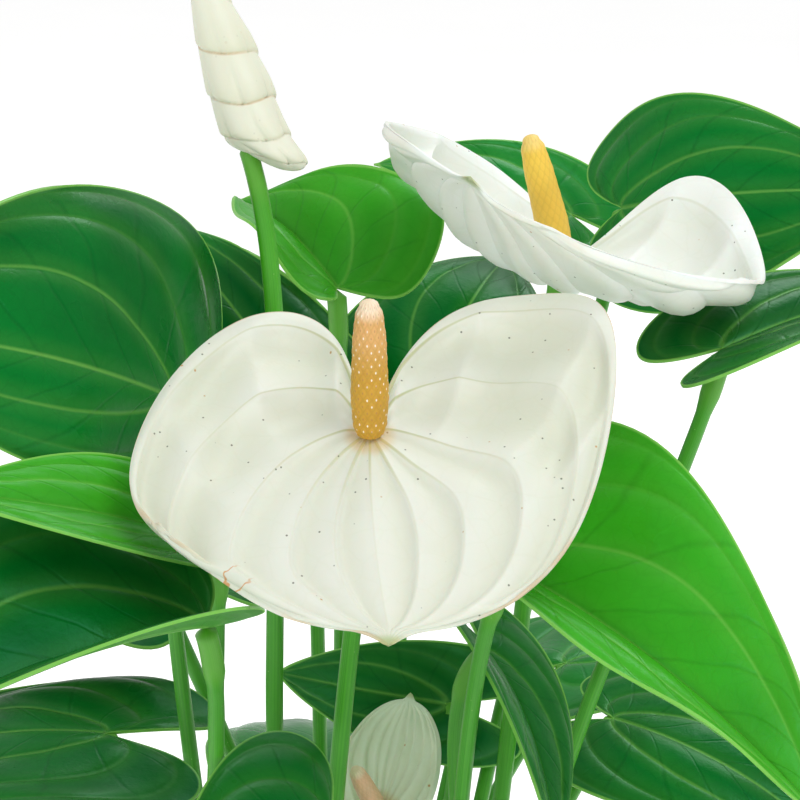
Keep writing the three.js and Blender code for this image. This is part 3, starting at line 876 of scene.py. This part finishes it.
def chip(bm):
    made = bmesh.ops.create_cube(bm, size=2)["verts"]
    edges = list({edge for vert in made for edge in vert.link_edges})
    rounded = bmesh.ops.bevel(bm, geom=edges, offset=0.35, offset_type="OFFSET", affect="EDGES", segments=1,
                              profile=0.5, material=-1)
    return list({vert for face in rounded["faces"] for vert in face.verts})


class ANTHURIUM_OT_filling(bpy.types.Operator):
    """Fill the vase with drainage pebbles and a bark potting mix"""
    bl_idname = "anthurium.filling"
    bl_label = "Pebbles and potting mix"

    def execute(self, context):
        pot = context.scene.anthurium_pot
        rng = random.Random(11)
        wall = wall_profile(pot.wall / MM + 0.5, 60)
        self.pebbles(rng, wall)
        self.mix(wall)
        self.chips(rng, radius_of(wall, MIX_TOP), pot.chips)
        return {"FINISHED"}

    def pebbles(self, rng, wall):
        """Three layers of fired clay pebbles, in rings."""
        bits = []
        ring_gap, pebble_gap = 8.2, 8.4
        for layer, height in enumerate((11.3, 18.6, 25.9)):
            reach = radius_of(wall, height) - 7
            for ring in range(int(reach // ring_gap) + 1):
                radius = reach - ring_gap * ring
                number = max(1, int(math.tau * radius / pebble_gap))
                for i in range(number):
                    turn = math.tau * (i + 0.5 * (layer + ring)) / number
                    place = Vector((radius * math.cos(turn), radius * math.sin(turn), height)) * MM
                    size = Vector([rng.uniform(3.2, 3.9) for _ in range(3)]) * MM
                    bits.append((place, size, any_turn(rng)))
        stone = earth_finish("clay_pebble", colour("7c4a32"), colour("c08a63"), 220)
        add_bits("drainage_clay_pebbles", bits, rng, pebble, stone, ["drainage_pebbles"])

    def mix(self, wall):
        """A plug of potting mix with a rough top."""
        low, edge = PEBBLE_TOP + 0.5, radius_of(wall, MIX_TOP)
        sides = [(r, z) for r, z in wall if low < z < MIX_TOP]
        rings = [(edge * (1 - i / 26), MIX_TOP) for i in range(27)]
        bm = turned([(0, low), (radius_of(wall, low), low), *sides, *rings], 96)
        for vert in bm.verts:
            if vert.co.z > (MIX_TOP - 0.1) * MM:
                rough = noise.fractal(vert.co * 150, 1.0, 2.0, 3)
                inner = 1 - smooth_step(vert.co.xy.length, (edge - 3) * MM, edge * MM)
                vert.co.z += (0.9 * rough - 0.4) * inner * MM
        mix = earth_finish("potting_mix", colour("241a12"), colour("5a4331"), 260)
        add_piece("bark_potting_mix", bm, [mix], ["potting_mix"])

    def chips(self, rng, edge, number):
        """Bark chips scattered over the mix, and a perlite grain beside every seventh of them."""
        bits = []
        for _ in range(number):
            turn, radius = rng.uniform(0, math.tau), (edge - 5) * math.sqrt(rng.random())
            height = MIX_TOP + rng.uniform(-0.4, 1.2)
            place = Vector((radius * math.cos(turn), radius * math.sin(turn), height)) * MM
            size = Vector((rng.uniform(1.8, 4.6), rng.uniform(1.2, 2.6), rng.uniform(0.5, 1.1))) * MM
            spun = Matrix.Rotation(rng.uniform(0, math.tau), 4, UP)
            bits.append((place, size, spun @ Matrix.Rotation(rng.gauss(0, 0.3), 4, "X")))
        bark = earth_finish("bark_chip", colour("3a2616"), colour("94704a"), 420)
        add_bits("bark_chips", bits, rng, chip, bark)
        grain = Vector((1.1, 1.0, 0.9)) * MM
        grains = [(Vector((place.x * 0.97, place.y * 0.97, (MIX_TOP + 0.9) * MM)), grain, any_turn(rng))
                  for place, _, _ in bits[::7]]
        white = earth_finish("perlite", colour("c9c5ba"), colour("f4f2ea"), 500)
        add_bits("perlite_grains", grains, rng, pebble, white)


class ANTHURIUM_OT_shoots(bpy.types.Operator):
    """Grow the three short ringed shoots that the stalks stand round"""
    bl_idname = "anthurium.shoots"
    bl_label = "Shoots"

    def execute(self, context):
        brown = context.scene.anthurium_stalks.shoot_brown
        bark = earth_finish("shoot_sheath", darker(brown, 0.45), brown, 120, roughness=0.75)
        for name, shoot in SHOOTS.items():
            radius, height = shoot["radius"], shoot["height"]
            knots = [(0, -34), (0.5, -27), (1, -13.6), (1, 0), (0.92, 0.6 * height), (0.5, 0.92 * height),
                     (0, height)]
            profile = [(0, -34)]
            for (r0, z0), (r1, z1) in zip(knots, knots[1:]):
                for i in range(1, 13):
                    share = i / 12
                    z = z0 + (z1 - z0) * share
                    ring = 1 + 0.05 * math.cos(z * 1.5) * (0 < z < height * 0.9)
                    profile.append(((r0 + (r1 - r0) * share) * radius * ring, z))
            profile[-1] = (0, height)
            bm = turned(profile, 48)
            for vert in bm.verts:
                if vert.co.xy.length > MERGE:
                    lump = 1 + 0.1 * noise.fractal(vert.co * 160 + Vector(shoot["at"] + (0,)), 1.0, 2.0, 3)
                    vert.co.xy *= min(lump, 1.06)
            bmesh.ops.translate(bm, verts=bm.verts, vec=Vector((*shoot["at"], MIX_TOP)) * MM)
            add_piece(f"clump_shoot_{name}", bm, [bark], [f"shoot_{name}"])
        return {"FINISHED"}


class ANTHURIUM_OT_leaves(bpy.types.Operator):
    """Grow every heart-shaped leaf, with its veins, quilting and rounded margin"""
    bl_idname = "anthurium.leaves"
    bl_label = "Leaves"

    def execute(self, context):
        leaves = context.scene.anthurium_leaves
        columns = vein_columns(LEAF_VEINS, 8)
        finishes = {}
        for green in ("dark", "mid", "bright"):
            shade = getattr(leaves, green)
            finishes[green] = [leaf_finish(f"leaf_{green}", shade, leaves.vein),
                               leaf_finish(f"leaf_{green}_underside", shade, leaves.vein, underside=True)]
        for number, (name, data) in enumerate(LEAVES.items()):
            blade = Blade(data, LEAF_OUTLINE)
            relief = leaf_relief(leaves.quilting / MM, number * 1.7)
            bm = blade_mesh(blade, LEAF_VEINS, columns, leaves.rows, relief)
            green = data["green"]
            piece = add_piece(f"leaf_{name}", bm, finishes[green], [f"blade_{name}"])
            thicken(piece, leaves.thickness)
        return {"FINISHED"}


def way_to(blade, data):
    """The way of the stalk that carries a blade."""
    arrival = (blade.out + UP * 0.8 + blade.along * 0.5).normalized()
    return stalk_way(data, blade.start - blade.out * 0.3, arrival)


class ANTHURIUM_OT_stalks(bpy.types.Operator):
    """Grow a stalk to every leaf, every flower and the bud"""
    bl_idname = "anthurium.stalks"
    bl_label = "Stalks"

    def execute(self, context):
        stalks = context.scene.anthurium_stalks
        leafy = stalk_finish("leaf_stalk", stalks.leaf_green)
        flowery = stalk_finish("flower_stalk", stalks.flower_green)
        for name, data in LEAVES.items():
            way = way_to(Blade(data, LEAF_OUTLINE), data)
            add_stalk(f"leafstalk_{name}", way, stalks.leaf_radius, leafy,
                      f"petiole_{name}", 0.3)
        for name, data in BLOOMS.items():
            way = way_to(Blade(data, SPATHE_OUTLINE), data)
            add_stalk(f"flowerstalk_{name}", way, stalks.flower_radius, flowery,
                      f"peduncle_{name}", 0.12)
        low, high = Vector(BUD["low"]), Vector(BUD["high"])
        end = low.lerp(high, BUD["joint"] + 0.05) + Vector((-0.3, 0, -0.2)) * BUD["radius"]
        way = stalk_way(BUD, end, (high - low).normalized())
        add_stalk("flowerstalk_bud", way, stalks.flower_radius, flowery, "peduncle_bud", 0.0)
        return {"FINISHED"}


class ANTHURIUM_OT_spathes(bpy.types.Operator):
    """Open the white spathes, veined, hollowed and quilted to the margin"""
    bl_idname = "anthurium.spathes"
    bl_label = "Spathes"

    def execute(self, context):
        flowers = context.scene.anthurium_flowers
        columns = vein_columns(SPATHE_VEINS, 12)
        for number, (name, data) in enumerate(BLOOMS.items()):
            blade = Blade(data, SPATHE_OUTLINE)
            relief = spathe_relief(data["quilting"], data["ribs"], data["crease"], number * 3.1 + 0.4)
            bm = blade_mesh(blade, SPATHE_VEINS, columns, flowers.rows, relief)
            white, vein = getattr(flowers, data["white"]), flowers.vein
            scar = blade.point(*data["scar"]) * MM if "scar" in data else None
            upper = spathe_finish(f"spathe_{name}", white, vein, tan=data["tan"], veined=data["veined"],
                                  warmth_at=blade.start * MM, scar_at=scar)
            lower = spathe_finish(f"spathe_{name}_underside", blended(white, vein, 0.03), vein, sheen=0.42,
                                  tan=data["tan"], veined=0.4)
            piece = add_piece(f"flower_{name}_spathe", bm, [upper, lower], [f"spathe_{name}"])
            thicken(piece, flowers.thickness)
        return {"FINISHED"}


class ANTHURIUM_OT_spadices(bpy.types.Operator):
    """Set the spikes of close florets on the open flowers"""
    bl_idname = "anthurium.spadices"
    bl_label = "Spadices"

    def execute(self, context):
        flowers = context.scene.anthurium_flowers
        looks = {
            "open": (flowers.ripe, colour("d9a866"), colour("efdcc0"), 0.9),
            "side": (blended(flowers.yellow, flowers.ripe, 0.35), flowers.yellow, colour("f4d77c"), 0.0),
            "small": (flowers.pink, flowers.pink, colour("efe0bd"), 0.2),
        }
        for name, data in BLOOMS.items():
            blade = Blade(data, SPATHE_OUTLINE)
            bm = spadix_mesh(blade, data["spadix"])
            finish = spadix_finish(f"spadix_{name}", *looks[name])
            add_piece(f"flower_{name}_spadix", bm, [finish], [f"spadix_{name}"])
        return {"FINISHED"}


def spadix_mesh(blade, spadix):
    """A tapering spike whose florets stand in crossing spirals."""
    long, radius, floret_height = spadix["length"], spadix["radius"], spadix["floret"]
    turn = UP.rotation_difference(Vector(spadix["towards"]).normalized()).to_matrix()
    foot = blade.start + blade.out * 0.4
    profile = [(0, 0.3), (0.03, 0.72), (0.1, 0.9), (0.3, 1), (0.7, 0.88), (0.9, 0.72), (0.96, 0.5), (1, 0)]
    around, rows, spirals = 104, 150, 13

    def width(share):
        for (z0, r0), (z1, r1) in zip(profile, profile[1:]):
            if share <= z1:
                t = (share - z0) / (z1 - z0)
                if z1 == 1:
                    return r0 * math.sqrt(max(0.0, 1 - t * t))
                return r0 + (r1 - r0) * (t * t * (3 - 2 * t) * 0.4 + t * 0.6)
        return 0

    def place(column, row):
        share, angle = row / rows, math.tau * column / around
        up = share * long * 0.36
        first = math.cos(angle * spirals / 2 + up * 2.3)
        second = math.cos(angle * spirals / 2 - up * 2.3)
        floret = abs(first * second)
        lift = floret_height * (floret ** 0.7) * smooth_step(width(share), 0.1, 0.5)
        swollen = max(0.0, radius * width(share) - floret_height * 0.4 + lift) if 0 < row < rows else 0
        point = Vector((swollen * math.cos(angle), swollen * math.sin(angle), share * long))
        return (foot + turn @ point) * MM, floret

    return closed(laid_grid(around, rows, place, ["floret"]))


class ANTHURIUM_OT_bud(bpy.types.Operator):
    """Wind the furled spathe of the bud, fold over fold, to its curled point"""
    bl_idname = "anthurium.bud"
    bl_label = "Bud"

    def execute(self, context):
        flowers = context.scene.anthurium_flowers
        low, high = Vector(BUD["low"]), Vector(BUD["high"])
        tall = (high - low).length
        turn = UP.rotation_difference((high - low).normalized()).to_matrix()
        around, rows = 112, 190
        no_vein = 5  # millimetres to a vein, where there is none
        swell = [(0, 0), (0.09, 0.84), (0.2, 0.98), (0.38, 1), (0.58, 0.86), (0.78, 0.57),
                 (0.93, 0.26), (1, 0)]

        def width(share):
            for (z0, r0), (z1, r1) in zip(swell, swell[1:]):
                if share <= z1:
                    t = (share - z0) / (z1 - z0)
                    return r1 * math.sqrt(t * (2 - t)) if z0 == 0 else r0 + (r1 - r0) * t
            return 0

        def place(column, row):
            share, lap = (row / rows) ** 1.3, column / around
            angle = math.tau * lap
            arch = 0.25 * (1 - share) ** 2 * math.cos(angle * 2)
            tier = 0.35 + 5.7 * share ** 0.6 + lap - arch
            fold = tier % 1.0
            bulge = (1 - math.exp(-26 * fold)) * (1 - 0.8 * fold ** 1.6)
            pleat = 1 - abs(math.sin(angle * 3 + 0.5 * (math.floor(tier) - lap))) ** 0.5
            pleat *= (1 - share) ** 1.6 * (1 - fold)
            radius = BUD["radius"] * width(share) * (0.88 + 0.12 * bulge - 0.34 * pleat)
            droop = 1 - smooth_step(share, 0.0, 0.22)
            bent = Vector((radius * math.cos(angle) + 5 * droop, radius * math.sin(angle) - 1.5 * droop,
                           share * tall - 0.5 * droop * radius * math.cos(angle)))
            # Painted shade: strongest under each fold's overhang and in the pleats' creases, where the
            # finish lays a greenish shade.
            edge, hollow = min(fold, 1 - fold) * 9 + 0.1, max((1 - fold) ** 2.5, 0.8 * pleat)
            return (low + turn @ bent) * MM, no_vein, edge, hollow

        bm = closed(laid_grid(around, rows, place, BLADE_MEASURES))
        finish = spathe_finish("furled_spathe", flowers.bud, flowers.vein, netted=0.0, specked=0.12)
        add_piece("bud_furled_spathe", bm, [finish], ["spathe_bud"])
        return {"FINISHED"}


class ANTHURIUM_OT_stage(bpy.types.Operator):
    """Set the pale floor, the soft lights, the white surroundings and the camera"""
    bl_idname = "anthurium.stage"
    bl_label = "Stage"

    def execute(self, context):
        stage, scene = context.scene.anthurium_stage, context.scene
        scene.view_settings.view_transform = "Standard"
        self.camera(scene, stage.lens)
        self.floor(scene, stage.glow)
        self.surroundings(scene, stage.sky)
        for name, light in LIGHTS.items():
            self.light(scene, f"{name}_light", power=getattr(stage, name), **light)
        return {"FINISHED"}

    def camera(self, scene, lens):
        camera = bpy.data.objects.new("camera", bpy.data.cameras.new("camera"))
        camera.data.lens = lens
        camera.data.sensor_width = CAMERA["sensor"]
        camera.location = CAMERA["place"]
        camera.rotation_euler = (math.radians(90 - CAMERA["dip"]), 0, 0)
        scene.collection.objects.link(camera)
        scene.camera = camera

    def floor(self, scene, glow):
        bm = bmesh.new()
        bmesh.ops.create_grid(bm, x_segments=4, y_segments=4, size=40)
        mesh = bpy.data.meshes.new("floor")
        bm.to_mesh(mesh)
        bm.free()
        pale = Finish("pale_floor", 0.9, Emission_Color=(1, 1, 1, 1), Emission_Strength=glow)
        pale.colour_from(pale.laid(colour("f6f6f5"), colour("fafafa"), pale.noise(3, 2)))
        mesh.materials.append(pale.material)
        floor = bpy.data.objects.new("floor", mesh)
        scene.collection.objects.link(floor)

    def light(self, scene, name, place, size, power):
        data = bpy.data.lights.new(name, "AREA")
        data.shape, data.size, data.energy = "DISK", size, power
        lamp = bpy.data.objects.new(name, data)
        lamp.location = place
        lamp.rotation_euler = (PLANT_MIDDLE - lamp.location).to_track_quat("-Z", "Y").to_euler()
        scene.collection.objects.link(lamp)

    def surroundings(self, scene, strength):
        world = bpy.data.worlds.new("white_surroundings")
        world.use_nodes = True
        scene.world = world
        nodes, links = world.node_tree.nodes, world.node_tree.links
        seen, path = nodes.new("ShaderNodeMapRange"), nodes.new("ShaderNodeLightPath")
        seen.inputs["To Min"].default_value, seen.inputs["To Max"].default_value = strength, 1.0
        links.new(path.outputs["Is Camera Ray"], seen.inputs["Value"])
        nodes["Background"].inputs["Color"].default_value = (1, 1, 1, 1)
        links.new(seen.outputs["Result"], nodes["Background"].inputs["Strength"])


STEPS = (ANTHURIUM_OT_stage, ANTHURIUM_OT_vase, ANTHURIUM_OT_filling, ANTHURIUM_OT_shoots,
         ANTHURIUM_OT_leaves, ANTHURIUM_OT_stalks, ANTHURIUM_OT_spathes, ANTHURIUM_OT_spadices,
         ANTHURIUM_OT_bud)


class ANTHURIUM_PT_sidebar(bpy.types.Panel):
    bl_label = "Anthurium"
    bl_idname = "ANTHURIUM_PT_sidebar"
    bl_space_type = "VIEW_3D"
    bl_region_type = "UI"
    bl_category = "Anthurium"

    def draw(self, context):
        for settings in SETTINGS:
            group = getattr(context.scene, settings)
            box = self.layout.box()
            for field in group.bl_rna.properties:
                if field.identifier not in ("rna_type", "name"):
                    box.prop(group, field.identifier)
        for step in STEPS:
            self.layout.operator(step.bl_idname)


SETTINGS = {
    "anthurium_leaves": LeafSettings,
    "anthurium_stalks": StalkSettings,
    "anthurium_flowers": FlowerSettings,
    "anthurium_pot": PotSettings,
    "anthurium_stage": StageSettings,
}


def register():
    for part in (*SETTINGS.values(), *STEPS, ANTHURIUM_PT_sidebar):
        bpy.utils.register_class(part)
    for name, settings in SETTINGS.items():
        setattr(bpy.types.Scene, name, PointerProperty(type=settings))


def unregister():
    for name in SETTINGS:
        delattr(bpy.types.Scene, name)
    for part in reversed((*SETTINGS.values(), *STEPS, ANTHURIUM_PT_sidebar)):
        bpy.utils.unregister_class(part)


def main():
    register()
    for step in STEPS:
        getattr(bpy.ops.anthurium, step.bl_idname.removeprefix("anthurium."))()


if __name__ == "__main__":
    main()
